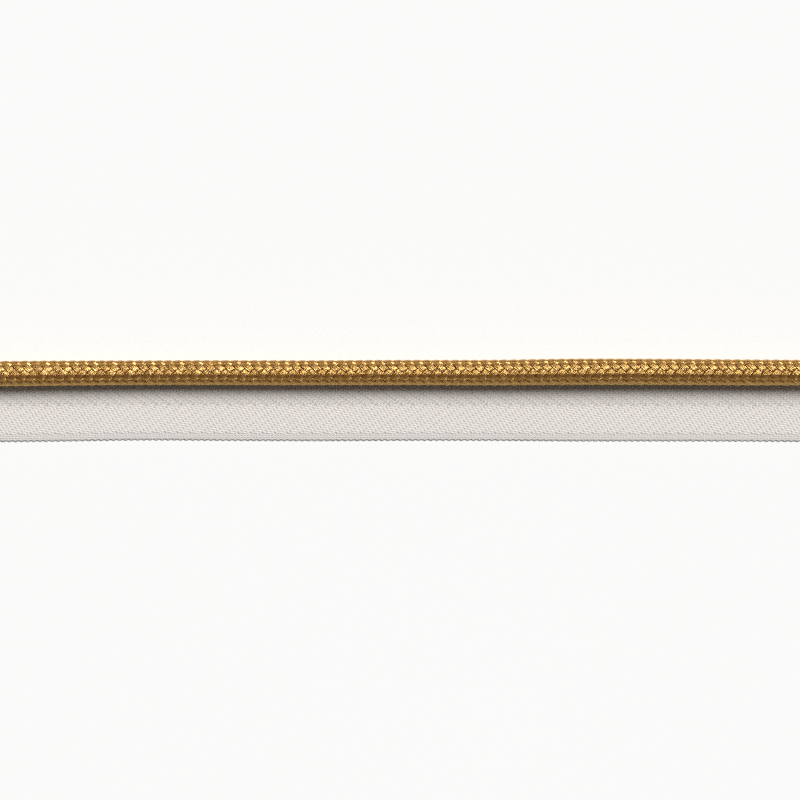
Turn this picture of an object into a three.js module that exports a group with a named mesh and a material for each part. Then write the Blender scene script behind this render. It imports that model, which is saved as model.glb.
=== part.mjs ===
// Silk lip cord: a round braided cord sewn along the edge of a narrow woven tape, the lip.
// A cut length lying flat. Millimetres, +X along the length, +Y towards the cord, +Z up.
// The origin is on the surface under the middle of the piece.
import * as THREE from 'three';

// Cord
const CUT_LENGTH = 200;
const CORD_DIAMETER = 6;
const CARRIERS = 16;            // tows in the tubular braid, half of them turning each way
const BRAID_REPEATS = 90;       // over-two-under-two repeats in the cut length
const TOW_CROWN = 0.36;         // how far a tow's middle stands above the groove beside it
const FIRST_COLUMN_DEG = -31.3; // where one column of tows faces, turned from straight up towards -Y

// Lip tape
const TAPE_THICKNESS = 1;
const LIP_REACH = 15.85;        // from the cord's axis out to the tape's free edge
const LIP_STARTS = 3.6;         // from the cord's axis out to where the lip is clear of the cord
const TUCKED_UNDER = 1.2;       // from the cord's axis in to the tape's hidden edge
const SEAT_GAP = 0.3;           // between the tape and the cord that lies on it
const EDGE_STEPS = 40;          // straight stretches along the wandering free edge

// Colours of the two yarns
const GOLD_SILK = 0xa87a3c;
const IVORY_YARN = 0xddd8d2;

// The piece isn't ruler straight. Each row is one station, evenly spaced from end to end:
// sway is the cord's axis off its line, swell is added to its diameter, edge moves the free edge.
const STATIONS = [
  { sway: -0.38, swell: -0.02, edge: -0.36 },
  { sway: -0.17, swell: -0.10, edge: -0.14 },
  { sway: -0.06, swell: -0.22, edge: 0.14 },
  { sway: -0.04, swell: -0.18, edge: 0.04 },
  { sway: -0.06, swell: -0.16, edge: -0.04 },
  { sway: 0.00, swell: -0.10, edge: 0.05 },
  { sway: -0.03, swell: 0.00, edge: 0.05 },
  { sway: 0.15, swell: 0.16, edge: -0.09 },
  { sway: 0.14, swell: 0.13, edge: -0.10 },
  { sway: 0.01, swell: 0.08, edge: -0.14 },
  { sway: -0.05, swell: 0.00, edge: -0.28 },
];
const unevenness = new THREE.CatmullRomCurve3(
  STATIONS.map(({ sway, swell, edge }) => new THREE.Vector3(sway, swell, edge)),
  false,
  'catmullrom',
);

// Where the piece is at a share of its length: 0 at one cut end, 1 at the other.
function placeAt(share) {
  const { x: sway, y: swell, z: edge } = unevenness.getPoint(share);
  return {
    x: (share - 0.5) * CUT_LENGTH,
    axisY: sway,
    radius: (CORD_DIAMETER + swell) / 2,
    freeEdgeY: edge - LIP_REACH,
  };
}

// Each of the braid's columns has a line of points down its middle and one down each side.
// A column's middle is crowned where a tow passes and sunk in the groove to the next tow,
// and its neighbours are half a repeat behind, so the crowns join the sides as slanting tows.
function sunkAt(ring, line) {
  const onSide = line % 2 === 1;
  if (onSide) return TOW_CROWN / 2;
  const crowned = (line / 2 + ring) % 2 === 0;
  return crowned ? 0 : TOW_CROWN;
}

function braidedCord() {
  const columns = CARRIERS / 2;
  const lines = 2 * columns;
  const rings = 2 * BRAID_REPEATS;
  const lineStep = (2 * Math.PI) / lines;
  const firstLine = THREE.MathUtils.degToRad(FIRST_COLUMN_DEG);
  const points = [];
  const faces = [];

  for (let ring = 0; ring <= rings; ring += 1) {
    const { x, axisY, radius } = placeAt(ring / rings);
    const axisZ = TAPE_THICKNESS + SEAT_GAP + radius;
    for (let line = 0; line < lines; line += 1) {
      const turn = firstLine + line * lineStep;
      const reach = radius - sunkAt(ring, line);
      points.push(x, axisY - reach * Math.sin(turn), axisZ + reach * Math.cos(turn));
    }
  }

  // The two triangles between four points meet along the slant of that column's tows.
  for (let ring = 0; ring < rings; ring += 1) {
    for (let line = 0; line < lines; line += 1) {
      const next = (line + 1) % lines;
      const [a, b] = [ring * lines + line, ring * lines + next];
      const [c, d] = [a + lines, b + lines];
      const column = Math.floor((line + 1) / 2) % columns;
      const forward = column % 2 === 0;
      faces.push(...(forward ? [a, b, d, a, d, c] : [a, b, c, b, d, c]));
    }
  }

  // Flat cut ends
  for (const [ring, outward] of [[0, -1], [rings, 1]]) {
    const { x, axisY, radius } = placeAt(ring / rings);
    const middle = points.length / 3;
    points.push(x, axisY, TAPE_THICKNESS + SEAT_GAP + radius);
    for (let line = 0; line < lines; line += 1) {
      const here = ring * lines + line;
      const next = ring * lines + ((line + 1) % lines);
      faces.push(...(outward > 0 ? [middle, here, next] : [middle, next, here]));
    }
  }

  const geometry = new THREE.BufferGeometry();
  geometry.setAttribute('position', new THREE.Float32BufferAttribute(points, 3));
  geometry.setIndex(faces);
  geometry.computeVertexNormals();
  const silk = new THREE.MeshStandardMaterial({ color: GOLD_SILK, roughness: 0.4, metalness: 0 });
  const cord = new THREE.Mesh(geometry, silk);
  cord.name = 'braided_cord';
  return cord;
}

// A flat tape: its hidden edge runs straight under the cord, its free edge wanders a little.
// A line of points between them, clear of the cord, bounds the lip that a seam catches.
function lipTape() {
  // Two rows of faces across give three lines of points, at -1, 0 and 1 until they are placed.
  const geometry = new THREE.BoxGeometry(CUT_LENGTH, 2, TAPE_THICKNESS, EDGE_STEPS, 2, 1);
  const place = geometry.getAttribute('position');
  for (let i = 0; i < place.count; i += 1) {
    const share = place.getX(i) / CUT_LENGTH + 0.5;
    const line = Math.round(place.getY(i)) + 1;
    place.setY(i, [placeAt(share).freeEdgeY, -LIP_STARTS, TUCKED_UNDER][line]);
    place.setZ(i, place.getZ(i) + TAPE_THICKNESS / 2);
  }

  const twill = new THREE.MeshStandardMaterial({ color: IVORY_YARN, roughness: 0.85, metalness: 0 });
  const tape = new THREE.Mesh(geometry, twill);
  tape.name = 'lip_tape';
  return tape;
}

const lipCord = new THREE.Group();
lipCord.add(braidedCord(), lipTape());

// The pieces are drawn from the cord's line, then moved to stand about the origin.
const extent = new THREE.Box3().setFromObject(lipCord);
lipCord.position.y = -(extent.min.y + extent.max.y) / 2;

export default lipCord;
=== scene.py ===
# Silk lip cord: a gold braided cord drawn down onto the edge of a flat ivory herringbone tape.
# It is a cut length lying flat, +X along it, +Y towards the cord, +Z up. Sizes are in metres.
import math

import bpy
import numpy as np
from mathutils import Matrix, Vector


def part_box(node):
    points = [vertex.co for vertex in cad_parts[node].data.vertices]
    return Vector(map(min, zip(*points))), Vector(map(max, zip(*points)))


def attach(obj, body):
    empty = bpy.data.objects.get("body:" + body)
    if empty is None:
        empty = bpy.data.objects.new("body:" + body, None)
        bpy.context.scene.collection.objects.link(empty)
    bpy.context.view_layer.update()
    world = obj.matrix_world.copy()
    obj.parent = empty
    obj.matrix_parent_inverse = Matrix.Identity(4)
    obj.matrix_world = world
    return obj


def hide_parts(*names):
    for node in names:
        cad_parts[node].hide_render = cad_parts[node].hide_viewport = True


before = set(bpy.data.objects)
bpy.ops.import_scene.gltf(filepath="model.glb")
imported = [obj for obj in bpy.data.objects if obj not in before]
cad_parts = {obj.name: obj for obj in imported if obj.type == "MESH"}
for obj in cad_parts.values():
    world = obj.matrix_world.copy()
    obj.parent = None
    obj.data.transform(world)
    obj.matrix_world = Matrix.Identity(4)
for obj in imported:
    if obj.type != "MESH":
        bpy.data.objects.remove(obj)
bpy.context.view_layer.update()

# The camera hangs straight above the piece. Both cut ends lie just outside its frame, and the
# cord's 6 mm take 26 of the photograph's 800 pixels.
MM = 0.001
CORD_DIAMETER = 6 * MM
CORD_PIXELS = 26
PHOTO_PIXELS = 800
CORD_AXIS_ROW = 372.5           # the photograph's row of pixels along the cord's middle
TUCKED_UNDER = 1.2 * MM         # from the cord's axis in to the tape's hidden edge
SENSOR = 36                     # the sensor and the lens are in millimetres, as the camera's own
LENS = 240
SCALE_HEIGHT = 3 * MM           # height above the floor at which a pixel has its size
NEAREST_SEEN = 0.1
FARTHEST_SEEN = 20

photo_pixel = CORD_DIAMETER / CORD_PIXELS
tape_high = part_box("lip_tape")[1]
seam_y = tape_high.y - TUCKED_UNDER
frame_width = PHOTO_PIXELS * photo_pixel
camera_data = bpy.data.cameras.new("camera_above")
camera_data.sensor_width = SENSOR
camera_data.lens = LENS
camera_data.clip_start = NEAREST_SEEN
camera_data.clip_end = FARTHEST_SEEN
camera = bpy.data.objects.new("camera_above", camera_data)
bpy.context.collection.objects.link(camera)
camera.location = (
    0,
    seam_y - (PHOTO_PIXELS / 2 - CORD_AXIS_ROW) * photo_pixel,
    SCALE_HEIGHT + frame_width * LENS / SENSOR,
)
bpy.context.scene.camera = camera

# The piece isn't ruler straight. A row for each 20 mm station says, in millimetres, how far the
# cord's axis sways, what is added to its diameter, how far its braid has slipped along, and how
# far the free edge lies off its line.
STATIONS = [
    dict(sway=-0.38, swell=-0.02, slip=0.52, edge=-0.36),
    dict(sway=-0.17, swell=-0.10, slip=0.44, edge=-0.14),
    dict(sway=-0.06, swell=-0.22, slip=0.33, edge=0.14),
    dict(sway=-0.04, swell=-0.18, slip=0.13, edge=0.04),
    dict(sway=-0.06, swell=-0.16, slip=0.00, edge=-0.04),
    dict(sway=0.00, swell=-0.10, slip=-0.13, edge=0.05),
    dict(sway=-0.03, swell=0.00, slip=-0.18, edge=0.05),
    dict(sway=0.15, swell=0.16, slip=-0.22, edge=-0.09),
    dict(sway=0.14, swell=0.13, slip=0.13, edge=-0.10),
    dict(sway=0.01, swell=0.08, slip=0.33, edge=-0.14),
    dict(sway=-0.05, swell=0.00, slip=0.45, edge=-0.28),
]
CUT_LENGTH = 200 * MM


def uneven(column, x):
    """One column of the stations at each x, on a smooth curve through them, in metres."""
    at = np.array([row[column] for row in STATIONS]) * MM
    at = np.concatenate([[2 * at[0] - at[1]], at, [2 * at[-1] - at[-2]]])
    along = np.clip(np.asarray(x) / CUT_LENGTH + 0.5, 0, 1) * (len(STATIONS) - 1)
    k = np.minimum(along.astype(int), len(STATIONS) - 2)
    t = along - k
    before, here, there, after = at[k], at[k + 1], at[k + 2], at[k + 3]
    leave, arrive = (there - before) / 2, (after - here) / 2
    return (
        here
        + leave * t
        + (3 * (there - here) - 2 * leave - arrive) * t**2
        + (2 * (here - there) + leave + arrive) * t**3
    )


# The cord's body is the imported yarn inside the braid. It is one round solid that the braid hides,
# and it shows only at the two cut ends, as a face of yarn tips.
TAPE_TOP = 1.0 * MM             # top of the plain solid that stands in for the tape
BODY_RADIUS = 2.3 * MM
BODY_SIDES = 24
BODY_STEPS = 100
TIP_RADIUS = 0.33 * MM
TIP_DOME = 0.7                  # how far a tip stands out, as a share of its radius
TIP_RINGS = 4
TIP_SIDES = 8
TIP_HEIGHTS = 3
TIP_SEED = 3
SEAT = 0.04 * MM                # how far below that the cord comes, onto the woven yarns


def cord_radius(x):
    return (CORD_DIAMETER + uneven("swell", x)) / 2


def cord_axis(x):
    """The cord's middle line at each x: it lies on the tape, so its height follows its radius."""
    x = np.asarray(x, float)
    return np.stack([x, seam_y + uneven("sway", x), TAPE_TOP - SEAT + cord_radius(x)], -1)


def smooth_mesh(name, points, faces, values=None):
    """A smooth-shaded mesh object. values holds numbers for each point, which materials read."""
    mesh = bpy.data.meshes.new(name)
    mesh.from_pydata(points, [], faces)
    mesh.polygons.foreach_set("use_smooth", np.ones(len(mesh.polygons), bool))
    for key, numbers in (values or {}).items():
        mesh.attributes.new(key, "FLOAT", "POINT").data.foreach_set(
            "value", np.asarray(numbers, np.float32).ravel()
        )
    mesh.update()
    piece = bpy.data.objects.new(name, mesh)
    bpy.context.collection.objects.link(piece)
    return piece


def yarns(name, lines, ups, across, tall, sides, shade, height):
    """Round or oval yarns as closed tubes. lines and ups are arrays of strands by steps by 3,
    across and tall are half widths in metres, shade is a number for each strand, and height runs
    from 0 where a yarn is sunk to 1 where it stands out. The materials paint shade with height:
    sunk yarn darker, yarn that stands out lighter."""
    strands, steps, _ = lines.shape
    run = np.gradient(lines, axis=1)
    run /= np.linalg.norm(run, axis=2, keepdims=True)
    beside = np.cross(run, ups)
    beside /= np.linalg.norm(beside, axis=2, keepdims=True)
    over = np.cross(beside, run)
    turn = np.arange(sides) * math.tau / sides
    wide = np.broadcast_to(across, (strands, steps))[..., None, None]
    high = np.broadcast_to(tall, (strands, steps))[..., None, None]
    rings = (
        lines[:, :, None]
        + wide * np.sin(turn)[:, None] * beside[:, :, None]
        + high * np.cos(turn)[:, None] * over[:, :, None]
    )
    rings[..., 0] = np.clip(rings[..., 0], -CUT_LENGTH / 2, CUT_LENGTH / 2)
    rings[..., 2] = np.maximum(rings[..., 2], 0)
    first = np.arange(strands)[:, None, None] * steps * sides
    ring = first + np.arange(steps - 1)[None, :, None] * sides
    a = ring + np.arange(sides)
    b = ring + (np.arange(sides) + 1) % sides
    walls = np.stack([a, b, b + sides, a + sides], -1).reshape(-1, 4).tolist()
    start = (first[:, 0] + np.arange(sides)[::-1]).tolist()
    end = (first[:, 0] + (steps - 1) * sides + np.arange(sides)).tolist()
    step_length = np.linalg.norm(np.diff(lines, axis=1), axis=2)
    along = np.concatenate([np.zeros((strands, 1)), np.cumsum(step_length, 1)], 1)
    values = {
        "along": np.repeat(along[..., None], sides, 2),
        "around": np.broadcast_to(turn, (strands, steps, sides)),
        "shade": np.broadcast_to(np.asarray(shade)[:, None, None], (strands, steps, sides)),
        "height": np.broadcast_to(np.asarray(height)[..., None], (strands, steps, sides)),
    }
    return smooth_mesh(name, rings.reshape(-1, 3), walls + start + end, values)


body_x = np.linspace(-CUT_LENGTH / 2, CUT_LENGTH / 2, BODY_STEPS + 1)
body_line = cord_axis(body_x)
body_up = np.zeros_like(body_line)
body_up[:, 2] = 1
# Its height of 0 paints the body in the darkest gold, as painted shade, like sunk yarn.
cord_body = yarns(
    "cord_body",
    body_line[None],
    body_up[None],
    BODY_RADIUS,
    BODY_RADIUS,
    BODY_SIDES,
    shade=[0.5],
    height=np.zeros((1, BODY_STEPS + 1)),
)


def yarn_tips():
    """Low round tips packed in rings on both cut faces of the body."""
    points, faces, shades = [], [], []
    rng = np.random.default_rng(TIP_SEED)
    centres = [(0.0, 0.0)]
    for ring in range(1, TIP_RINGS):
        reach = ring * (BODY_RADIUS - TIP_RADIUS) / (TIP_RINGS - 1)
        for spot in range(6 * ring):
            turn = math.tau * spot / (6 * ring)
            centres.append((reach * math.cos(turn), reach * math.sin(turn)))
    for end in (-1, 1):
        middle = cord_axis(end * CUT_LENGTH / 2)
        for dy, dz in centres:
            first = len(points)
            shades += [rng.random()] * (TIP_HEIGHTS * TIP_SIDES + 1)
            for level in range(TIP_HEIGHTS):
                lean = level / TIP_HEIGHTS * math.pi / 2
                out = end * TIP_RADIUS * TIP_DOME * math.sin(lean)
                for side in range(TIP_SIDES):
                    turn = -end * math.tau * side / TIP_SIDES
                    wide = TIP_RADIUS * math.cos(lean)
                    points.append(
                        middle
                        + (out, dy + wide * math.cos(turn), dz - wide * math.sin(turn))
                    )
            points.append(middle + (end * TIP_RADIUS * TIP_DOME, dy, dz))
            for level in range(TIP_HEIGHTS - 1):
                for side in range(TIP_SIDES):
                    a = first + level * TIP_SIDES + side
                    b = first + level * TIP_SIDES + (side + 1) % TIP_SIDES
                    faces.append([a, b, b + TIP_SIDES, a + TIP_SIDES])
            last = first + (TIP_HEIGHTS - 1) * TIP_SIDES
            for side in range(TIP_SIDES):
                faces.append([last + side, last + (side + 1) % TIP_SIDES, len(points) - 1])
            faces.append([first + side for side in reversed(range(TIP_SIDES))])
    zeros = np.zeros(len(points))
    values = {"along": zeros, "around": zeros, "shade": shades, "height": zeros + 0.5}
    return smooth_mesh("cord_end_tips", points, faces, values)


end_tips = yarn_tips()

# The braid covers the body: sixteen flat tows of glossy silk, eight turning each way round, each
# over two and under two of the others, so that it shows columns of slanting floats.
TOWS_EACH_WAY = 8
BRAID_REPEATS = 90
ENDS_IN_TOW = 5
COLUMN_FACES = math.radians(-31.3)  # where one column of floats faces, turned from straight up
FIRST_FLOAT_X = 0.40 * MM
STEPS_IN_REPEAT = 8
END_ACROSS = 0.185 * MM         # half a silk end's width, and half its thickness
END_TALL = 0.12 * MM
END_SIDES = 5
RISE = 0.19 * MM                # from a tow's middle height out to where it passes over
CROWN = 0.18 * MM               # how far a tow's middle stands above its two sides
SQUEEZED = 0.4                  # half the share of its crown that a tow loses where it is under
TOW_FILL = 0.88                 # a tow's width as a share of the pitch from tow to tow
SHARPNESS = 2.6                 # how suddenly a tow changes from over to under
OVER_LONGER = 0.08              # lets a tow stay over for longer than it is under
FILL_VARIES = 0.03
FILL_WAVE = 14 * MM
ASIDE_VARIES = 0.012
ASIDE_WAVE = 9 * MM
HEIGHT_VARIES = 0.012 * MM
HEIGHT_WAVE = 6 * MM
TOW_SHADES = (0.3, 0.7)
END_SHADES = (-0.3, 0.3)
BRAID_SEED = 11

braid_repeat = CUT_LENGTH / BRAID_REPEATS
tow_pitch = math.tau / TOWS_EACH_WAY
floats_round = TOWS_EACH_WAY / 2
braid_rng = np.random.default_rng(BRAID_SEED)


def wander(rng, x, size, longest, count=5):
    """A smooth, seeded unevenness of about the given size along x. It adds up a few waves, of
    which the first is the longest."""
    total = np.zeros_like(x)
    for k in range(count):
        wave = longest / (1 + k * 0.8)
        total += np.sin(math.tau * (x / wave + rng.random())) * rng.uniform(0.4, 1)
    return size * total / math.sqrt(count)


def tow(name, which, way):
    """One tow: way is 1 where it turns towards -Y along the length, and -1 where it turns back."""
    steps = BRAID_REPEATS * STEPS_IN_REPEAT + 1
    x = np.linspace(-CUT_LENGTH / 2, CUT_LENGTH / 2, steps)
    lag = 0 if way > 0 else braid_repeat / 2
    column = COLUMN_FACES if way > 0 else COLUMN_FACES + tow_pitch
    pattern_x = x - uneven("slip", x) - FIRST_FLOAT_X - lag
    middle = column + which * tow_pitch + way * tow_pitch * pattern_x / braid_repeat
    fill = TOW_FILL + wander(braid_rng, x, FILL_VARIES, FILL_WAVE)
    lines, ups, shades, painted_depth_shade = [], [], [], []
    tow_shade = braid_rng.uniform(*TOW_SHADES)
    for end in range(ENDS_IN_TOW):
        place = (end + 0.5) / ENDS_IN_TOW - 0.5
        aside = place * fill * tow_pitch + wander(braid_rng, x, ASIDE_VARIES, ASIDE_WAVE)
        turn = middle + aside
        float_phase = np.cos(floats_round * (turn - aside / 2 - column))
        lift = np.tanh(SHARPNESS * (float_phase + OVER_LONGER))
        crown = CROWN * (1 - (2 * place) ** 2) * (1 - SQUEEZED + SQUEEZED * lift)
        base = cord_radius(x) - END_TALL - CROWN - RISE
        unevenly = wander(braid_rng, x, HEIGHT_VARIES, HEIGHT_WAVE)
        reach = base + RISE * lift + crown + unevenly
        outward = np.stack([np.zeros_like(x), -np.sin(turn), np.cos(turn)], -1)
        lines.append(cord_axis(x) + outward * reach[:, None])
        ups.append(outward)
        shades.append(np.clip(tow_shade + braid_rng.uniform(*END_SHADES), 0, 1))
        # Painted shade: lightest in the middle of a float, darker towards its tips where the tow
        # dips under, and along the tow's two sides where it meets its neighbours
        painted_depth_shade.append(np.clip(0.5 + 0.3 * float_phase + 0.2 * lift - 1.2 * place**2, 0, 1))
    return yarns(
        name,
        np.array(lines),
        np.array(ups),
        END_ACROSS,
        END_TALL,
        END_SIDES,
        shades,
        np.array(painted_depth_shade),
    )


tows = [
    tow(f"tow_{hand}_{which + 1}", which, way)
    for hand, way in (("left", 1), ("right", -1))
    for which in range(TOWS_EACH_WAY)
]


class Wire:
    """One socket of a material's nodes. Arithmetic on wires and numbers adds Math nodes."""

    def __init__(self, tree, socket=None):
        self.tree, self.socket = tree, socket

    def node(self, kind, settings, sockets, out=0):
        """Adds a node. Its settings are set first, then its sockets get values or links."""
        made = self.tree.nodes.new(kind)
        for key, value in settings.items():
            setattr(made, key, value)
        for key, value in sockets.items():
            if isinstance(value, Wire):
                self.tree.links.new(value.socket, made.inputs[key])
            else:
                made.inputs[key].default_value = value
        return Wire(self.tree, made.outputs[out])

    def maths(self, operation, *terms):
        sockets = dict(enumerate(terms))
        return self.node("ShaderNodeMath", {"operation": operation}, sockets)

    def __add__(self, other):
        return self.maths("ADD", self, other)

    def __sub__(self, other):
        return self.maths("SUBTRACT", self, other)

    def __mul__(self, other):
        return self.maths("MULTIPLY", self, other)

    def __rsub__(self, other):
        return self.maths("SUBTRACT", other, self)

    __radd__ = __add__
    __rmul__ = __mul__

    def sine(self):
        return self.maths("SINE", self)

    def value_of(self, attribute):
        """A number that the mesh holds at each point."""
        return self.node("ShaderNodeAttribute", {"attribute_name": attribute}, {}, out="Fac")

    def noise(self, scale, detail=2.0):
        place = self.node("ShaderNodeTexCoord", {}, {}, out="Object")
        sockets = {"Vector": place, "Scale": scale, "Detail": detail}
        return self.node("ShaderNodeTexNoise", {}, sockets, out="Fac")

    def blend(self, share, first, second):
        """Mixes two colours. The Mix node's colour sockets are its seventh and eighth."""
        settings = {"data_type": "RGBA", "clamp_factor": True}
        return self.node("ShaderNodeMix", settings, {0: share, 6: first, 7: second}, out=2)

    def bump(self, height, distance, strength):
        sockets = {"Height": height, "Distance": distance, "Strength": strength}
        return self.node("ShaderNodeBump", {}, sockets)


def finish_of(name, surface, **sockets):
    """A material with one Principled shader, whose sockets get values or links."""
    made = bpy.data.materials.new(name)
    made.use_nodes = True
    made.node_tree.nodes.clear()
    wire = Wire(made.node_tree)
    varying = surface(wire)
    fixed = {key.replace("_", " "): value for key, value in sockets.items()}
    shader = wire.node("ShaderNodeBsdfPrincipled", {}, {**fixed, **varying})
    output = made.node_tree.nodes.new("ShaderNodeOutputMaterial")
    made.node_tree.links.new(shader.socket, output.inputs["Surface"])
    return made


# The silk's base colour runs from the first colour to the second: by each strand's random tone, and
# by painted shade, darker where a yarn is sunk and lighter where it stands out.
GOLD_SHADED = (0.03, 0.007, 0.001, 1)
GOLD_LIT = (0.24, 0.058, 0.002, 1)
GOLD_SHEEN = (1.0, 0.66, 0.24, 1)
SILK_IOR = 3.6                  # set high, for the shine of many fine filaments side by side
SILK_ROUGHNESS = 0.22
SILK_CLOUDS = 260
FILAMENTS_AROUND = 9
FILAMENT_TWIST = 900
FILAMENT_DEPTH = 0.01 * MM


def silk_surface(wire):
    shade = wire.value_of("shade")
    cloudy = wire.noise(SILK_CLOUDS)
    filaments = (
        wire.value_of("around") * FILAMENTS_AROUND + wire.value_of("along") * FILAMENT_TWIST
    ).sine()
    height = wire.value_of("height")
    # Base colour: the strand's own random tone, clouds and filament lines, plus painted shade from
    # height, darker where the yarn is sunk.
    tone_and_painted_shade = shade * 0.25 + cloudy * 0.15 + filaments * 0.06 + height * 0.6
    return {
        "Base Color": wire.blend(tone_and_painted_shade, GOLD_SHADED, GOLD_LIT),
        "Roughness": SILK_ROUGHNESS + cloudy * 0.06,
        "Normal": wire.bump(filaments, FILAMENT_DEPTH, 0.5),
    }


gold_silk = finish_of(
    "gold_silk",
    silk_surface,
    Metallic=0.0,
    IOR=SILK_IOR,
    Specular_IOR_Level=1.0,
    Specular_Tint=GOLD_SHEEN,
)
for piece in [cord_body, end_tips, *tows]:
    piece.data.materials.append(gold_silk)
    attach(piece, "root")
    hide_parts("braided_cord")

# The tape is woven on its own narrow loom: soft ivory warp ends run its whole length, and one
# weft yarn goes back and forth through them in a twill that turns back on itself at the middle.
LIP_REACH = 15.85 * MM          # from the cord's axis out to the free edge
PICK_PITCH = 0.706 * MM
PICK_BOW = 0.06                 # how far a pick runs ahead, as a share of its way out
WARP_ENDS = 37
EDGE_ENDS = 3                   # warp ends in each selvedge
LOOP_REACH = 0.34 * MM          # from either edge in to the warp, for the weft's loops
LOOP_OUT = 0.18 * MM            # how far the middle of a loop stands out from its pick's end
LOOP_THINNESS = 0.5             # drawn tight round the edge, the weft has this share of its size
LOOP_TURNS = (-50, 0, 50)       # degrees round a loop at which it has points
TAPE_MIDDLE = 0.46 * MM
EDGE_MIDDLE = 0.24 * MM
EDGE_THINS_OVER = 3
WARP_STEPS_IN_PICK = 2
WEFT_STEP = 0.5                 # in warp ends
TAPE_SIDES = 4
WARP_ACROSS = 0.25 * MM         # half a warp end's width, and half its thickness
WARP_TALL = 0.20 * MM
WEFT_ACROSS = 0.36 * MM
WEFT_TALL = 0.24 * MM
WARP_RISE = 0.09 * MM
WEFT_RISE = 0.11 * MM
WARP_LEAN = 0.13 * MM
WEFT_LEAN = 0.20 * MM
TWILL_REPEAT = 4                # picks in one over-two-under-two
CLOSER_PLAIN = 0.85             # share of plain weave in the closer half, beside the twill's
CLOSER_TWILL = 0.15
CLOSER_RISE = 3.0               # how many times as much its yarns rise, and how many times
CLOSER_LEAN = 1.5               # as much they lean, as in the free half
WARP_STRAYS = 0.02 * MM
WARP_STRAY_WAVE = 12 * MM
PICK_STRAYS = 0.02 * MM
TAPE_SEED = 23

picks = int(CUT_LENGTH / PICK_PITCH)
tape_rng = np.random.default_rng(TAPE_SEED)


def tape_edges(x):
    """Y of the free edge and of the hidden edge at each x."""
    free = seam_y - LIP_REACH + uneven("edge", x)
    return free, np.full_like(free, seam_y + TUCKED_UNDER)


def tape_y(end, x):
    """Y of a warp end, counted from 0 at the free edge, at each x."""
    free, hidden = tape_edges(x)
    share = (end + 0.5) / WARP_ENDS
    return free + LOOP_REACH + share * (hidden - free - 2 * LOOP_REACH)


def inward(end):
    """0 at either edge of the tape, rising to 1 a few warp ends in from it."""
    return np.clip(np.minimum(end, WARP_ENDS - 1 - end) / EDGE_THINS_OVER, 0, 1)


def weave_middle(end):
    """Height of the weave's middle: at both edges the tape is only one yarn deep."""
    return EDGE_MIDDLE + (TAPE_MIDDLE - EDGE_MIDDLE) * inward(end)


def pick_bow(end):
    """How far a pick runs ahead along X at that warp end: it is bowed about the turning line."""
    end_pitch = (LIP_REACH + TUCKED_UNDER) / WARP_ENDS
    return PICK_BOW * np.abs(end - (WARP_ENDS - 1) / 2) * end_pitch


def twill_slant(end):
    """The twill turns back on itself at the tape's middle."""
    return np.where(end < (WARP_ENDS - 1) / 2, -1, 1)


def in_selvedge(end):
    return (end < EDGE_ENDS - 0.5) | (end > WARP_ENDS - EDGE_ENDS - 0.5)


def twill_turn(pick, end):
    """Angle of the twill's wave where a pick crosses a warp end, which goes over two picks and
    under two: 0 is the middle of a warp float and half a turn the middle of a weft float."""
    step = pick - 1 + twill_slant(end) * (end - (WARP_ENDS - 1) / 2)
    return math.tau * step / TWILL_REPEAT


def warp_lift(pick, end):
    """Above 0 where the warp end is on top of that pick and below 0 where it is under it. The
    half of the tape next to the cord is woven closer, mostly over one and under one. In the
    selvedges the yarns lie level."""
    turn = twill_turn(pick, end)
    closer = CLOSER_RISE * (CLOSER_PLAIN * np.sin(2 * turn) + CLOSER_TWILL * np.cos(turn))
    lift = np.where(twill_slant(end) > 0, closer, np.cos(turn))
    return np.where(in_selvedge(end), 0, lift)


def lean(pick, end):
    """The floats crowd each other, so that each leans against the twill's slant."""
    turn = twill_turn(pick, end)
    leaning = np.where(twill_slant(end) > 0, -CLOSER_LEAN * np.cos(2 * turn), np.sin(turn))
    return np.where(in_selvedge(end), 0, leaning)


def warp():
    """All warp ends, side by side from the free edge to the hidden one."""
    x = np.linspace(-CUT_LENGTH / 2, CUT_LENGTH / 2, picks * WARP_STEPS_IN_PICK + 1)
    end = np.arange(WARP_ENDS)[:, None]
    pick = (x[None] + CUT_LENGTH / 2 - pick_bow(end)) / PICK_PITCH
    lift = warp_lift(pick, end)
    y = np.array([
        tape_y(e, x) + wander(tape_rng, x, WARP_STRAYS, WARP_STRAY_WAVE) for e in range(WARP_ENDS)
    ])
    y += twill_slant(end) * WARP_LEAN * lean(pick, end)
    z = weave_middle(end) + WARP_RISE * lift
    lines = np.stack([np.broadcast_to(x, y.shape), y, z], -1)
    ups = np.zeros_like(lines)
    ups[..., 2] = 1
    shades = tape_rng.random(WARP_ENDS)
    # Painted shade: a warp end is darker where it is under a pick.
    painted_depth_shade = np.clip(0.5 + 0.5 * lift, 0, 1)
    return yarns("tape_warp", lines, ups, WARP_ACROSS, WARP_TALL, TAPE_SIDES, shades, painted_depth_shade)


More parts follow.
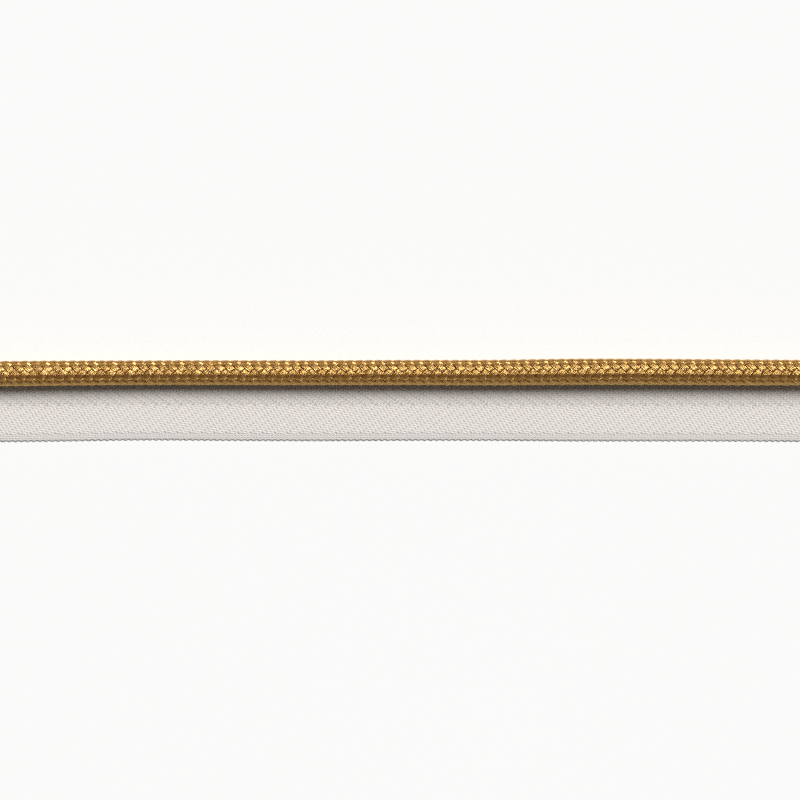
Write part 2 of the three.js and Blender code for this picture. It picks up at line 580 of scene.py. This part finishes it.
def weft():
    """Each pick crosses the warp, then turns round the last end to come back as the next pick."""
    points, painted_depth_shade, thins = [], [], []
    across = np.arange(-WEFT_STEP / 2, WARP_ENDS - WEFT_STEP, WEFT_STEP)
    for pick in range(picks):
        end = across if pick % 2 else across[::-1]
        x = -CUT_LENGTH / 2 + (pick + 0.5) * PICK_PITCH + pick_bow(end)
        y = tape_y(end, x)
        lift = warp_lift(pick + 0.5, end)
        z = weave_middle(end) - WEFT_RISE * lift
        x = x + tape_rng.normal(0, PICK_STRAYS) - WEFT_LEAN * lean(pick + 0.5, end)
        points.append(np.stack([x, y, z], -1))
        # Painted shade: a pick is darker where it is under the warp.
        painted_depth_shade += np.clip(0.5 - 0.5 * lift, 0, 1).tolist()
        thins += [1.0] * len(end)
        if pick < picks - 1:
            turned = points[-1][-1]
            outward = 1 if pick % 2 else -1
            for angle in LOOP_TURNS:
                swing = math.radians(angle)
                ahead = PICK_PITCH / 2 * (1 + math.sin(swing))
                out = outward * LOOP_OUT * math.cos(swing)
                points.append(turned[None] + [[ahead, out, 0]])
                # The loops stand out, so they get the lightest tone of the painted shade.
                painted_depth_shade.append(1.0)
                thins.append(LOOP_THINNESS)
    line = np.concatenate(points)[None]
    line[..., 0] = np.clip(line[..., 0], -CUT_LENGTH / 2, CUT_LENGTH / 2)
    ups = np.zeros_like(line)
    ups[..., 2] = 1
    thin = np.array(thins)[None]
    return yarns(
        "tape_weft",
        line,
        ups,
        WEFT_ACROSS * thin,
        WEFT_TALL * thin,
        TAPE_SIDES,
        shade=[0.5],
        height=np.array(painted_depth_shade)[None],
    )


tape_warp = warp()
tape_weft = weft()

# Between the yarns lies the tape's own ground: the thin sheet of fibre that closes the weave, cut
# to the tape's width and length. Its top lies above the weave's middle, but sinks below it at
# both edges, so that the selvedges show their yarns. It is painted in the darkest ivory, as
# painted shade in the gaps between the yarns.
GROUND_STEPS = 200
GROUND_ROWS = 16
GROUND_LOW = 0.08 * MM
GROUND_RAISED = 0.13 * MM


def ground():
    """A flat closed sheet with a row of points along it for each line of its width."""
    x = np.linspace(-CUT_LENGTH / 2, CUT_LENGTH / 2, GROUND_STEPS + 1)
    free, hidden = tape_edges(x)
    row = np.linspace(0, 1, GROUND_ROWS + 1)
    y = (free + LOOP_REACH)[:, None] + row * (hidden - free - 2 * LOOP_REACH)[:, None]
    end = row * (WARP_ENDS - 1)
    top = weave_middle(end) + GROUND_RAISED * (2 * inward(end) - 1)
    sides = []
    for z in (np.full_like(y, GROUND_LOW), np.broadcast_to(top, y.shape)):
        sides.append(np.stack([np.broadcast_to(x[:, None], y.shape), y, z], -1))
    points = np.concatenate([s.reshape(-1, 3) for s in sides])
    wide = GROUND_ROWS + 1
    count = (GROUND_STEPS + 1) * wide
    faces = []
    for i in range(GROUND_STEPS):
        for j in range(GROUND_ROWS):
            a, b, c, d = i * wide + j, (i + 1) * wide + j, (i + 1) * wide + j + 1, i * wide + j + 1
            faces.append([a, d, c, b])
            faces.append([a + count, b + count, c + count, d + count])
    for i in range(GROUND_STEPS):
        a, b = i * wide, (i + 1) * wide
        faces.append([a, b, b + count, a + count])
        a, b = a + GROUND_ROWS, b + GROUND_ROWS
        faces.append([b, a, a + count, b + count])
    for j in range(GROUND_ROWS):
        faces.append([j + 1, j, j + count, j + 1 + count])
        a = GROUND_STEPS * wide + j
        faces.append([a, a + 1, a + 1 + count, a + count])
    # Height and shade of 0 give the ground the darkest ivory: painted shade in the gaps.
    zeros = np.zeros(len(points))
    values = {"along": zeros, "around": zeros, "shade": zeros, "height": zeros}
    return smooth_mesh("tape_ground", points, faces, values)


tape_ground = ground()

IVORY_SHADED = (0.70, 0.66, 0.62, 1)
IVORY_LIT = (0.84, 0.81, 0.78, 1)
FIBRE_FINE = 5200
YARN_CLOUDS = 420
PLIES = 2
PLY_TWIST = 7000
PLY_DEPTH = 0.03 * MM


def spun_surface(wire):
    fibre = wire.noise(FIBRE_FINE, 3.0)
    cloudy = wire.noise(YARN_CLOUDS)
    ply = (wire.value_of("around") * PLIES + wire.value_of("along") * PLY_TWIST).sine()
    height = wire.value_of("height")
    # Base colour: each strand's random tone, fibre and clouds, plus painted shade from height,
    # darker for sunk yarn and for the ground between the yarns.
    tone_and_painted_shade = wire.value_of("shade") * 0.15 + fibre * 0.25 + cloudy * 0.2 + height * 0.3
    return {
        "Base Color": wire.blend(tone_and_painted_shade, IVORY_SHADED, IVORY_LIT),
        "Roughness": 0.8 + fibre * 0.15,
        "Normal": wire.bump(fibre + ply * 0.3, PLY_DEPTH, 0.6),
    }


ivory_twill = finish_of("ivory_twill", spun_surface, Metallic=0.0, Sheen_Weight=0.2)
for piece in (tape_ground, tape_warp, tape_weft):
    piece.data.materials.append(ivory_twill)
    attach(piece, "root")
    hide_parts("lip_tape")

# The floor is a plain pale studio surface, wide enough for every view.
FLOOR_HALF = 4.0
FLOOR_PALE = (0.955, 0.955, 0.95, 1)
FLOOR_PALER = (0.965, 0.965, 0.96, 1)

corners = [(-1, -1, 0), (1, -1, 0), (1, 1, 0), (-1, 1, 0)]
floor = smooth_mesh("floor", FLOOR_HALF * np.array(corners), [[0, 1, 2, 3]])


def floor_surface(wire):
    return {
        "Base Color": wire.blend(wire.noise(3), FLOOR_PALE, FLOOR_PALER),
        "Roughness": 0.9 + wire.noise(40) * 0.05,
    }


floor.data.materials.append(finish_of("pale_floor", floor_surface))

# One broad soft light stands on the cord's side, above the top edge of the picture. The room and a
# weak light from the lip's side fill in. A light's height is in degrees up from the horizon on the
# cord's side, aside turns it towards +X, and spread is how wide it looks from the piece.
LIGHTS = [
    dict(name="soft_key", height=57, aside=12, spread=37, strength=3.4),
    dict(name="weak_fill", height=152, aside=0, spread=60, strength=0.12),
]
ROOM_LIGHT = 0.07

for row in LIGHTS:
    light = bpy.data.lights.new(row["name"], "SUN")
    light.energy = row["strength"]
    light.angle = math.radians(row["spread"])
    stand = bpy.data.objects.new(row["name"], light)
    stand.rotation_euler = (math.radians(row["height"] - 90), 0, -math.radians(row["aside"]))
    bpy.context.collection.objects.link(stand)
world = bpy.data.worlds.new("room")
world.use_nodes = True
world.node_tree.nodes["Background"].inputs["Color"].default_value = (1, 1, 1, 1)
world.node_tree.nodes["Background"].inputs["Strength"].default_value = ROOM_LIGHT
bpy.context.scene.world = world
bpy.context.scene.view_settings.view_transform = "Standard"
# The threads are about as fine as a pixel, and a denoiser would smear them.
bpy.context.scene.cycles.use_denoising = False
